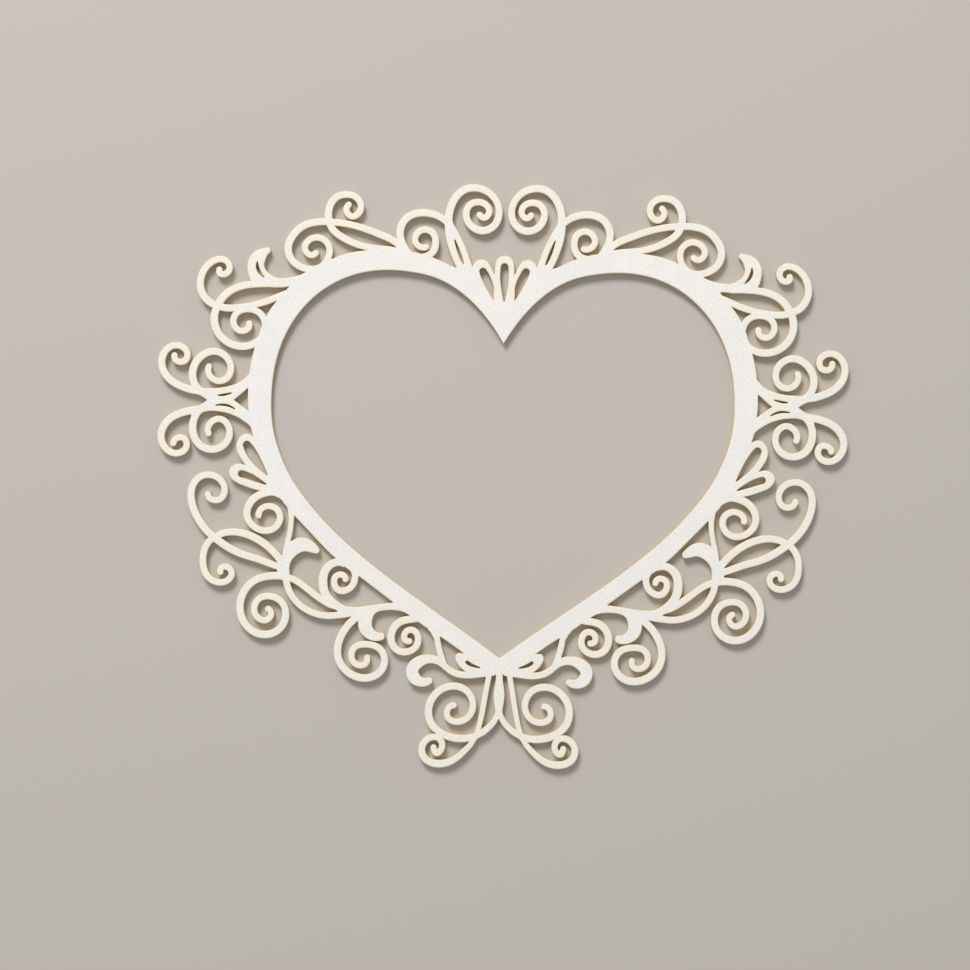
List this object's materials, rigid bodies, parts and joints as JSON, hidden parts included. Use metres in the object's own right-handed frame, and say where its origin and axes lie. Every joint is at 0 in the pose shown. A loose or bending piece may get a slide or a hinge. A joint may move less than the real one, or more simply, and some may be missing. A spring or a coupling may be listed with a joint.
{
  "type": "heart shaped photo frame",
  "caption": "Flat heart-shaped photo frame cut from thick white pulp board, with an open heart window and a symmetrical border of traditional scrolls, leaves and tendrils.",
  "frame": {"origin": "middle of the outline's bounding box, on the flat back of the board", "axes": "+X to the right across the lobes, +Y up the heart from its point to its lobes, +Z out of the show face, so the frame lies flat on its back"},
  "size_m": [0.1202, 0.1016, 0.0015],
  "materials": {
    "pulp_board": "matte"
  },
  "bodies": {
    "root": {"cleft_fan": "pulp_board", "crown_bow_left": "pulp_board", "crown_bow_right": "pulp_board", "crown_eye_left": "pulp_board", "crown_eye_right": "pulp_board", "crown_scroll_left": "pulp_board", "crown_scroll_right": "pulp_board", "foot_spray_left": "pulp_board", "foot_spray_right": "pulp_board", "foot_wing_left": "pulp_board", "foot_wing_right": "pulp_board", "heart_band": "pulp_board", "heel_scroll_left": "pulp_board", "heel_scroll_right": "pulp_board", "inner_coil_left": "pulp_board", "inner_coil_right": "pulp_board", "inner_sweep_left": "pulp_board", "inner_sweep_right": "pulp_board", "petal_pair_left": "pulp_board", "petal_pair_right": "pulp_board", "shoulder_spray_left": "pulp_board", "shoulder_spray_right": "pulp_board", "side_butterfly_left": "pulp_board", "side_butterfly_right": "pulp_board", "spindle": "pulp_board", "tendril_spray_left": "pulp_board", "tendril_spray_right": "pulp_board", "top_spray_left": "pulp_board", "top_spray_right": "pulp_board", "trunk_spiral_left": "pulp_board", "trunk_spiral_right": "pulp_board", "trunk_spray_left": "pulp_board", "trunk_spray_right": "pulp_board", "vine_spiral_left": "pulp_board", "vine_spiral_right": "pulp_board", "vine_stem_left": "pulp_board", "vine_stem_right": "pulp_board", "waist_scroll_left": "pulp_board", "waist_scroll_right": "pulp_board"}
  },
  "joints": []
}
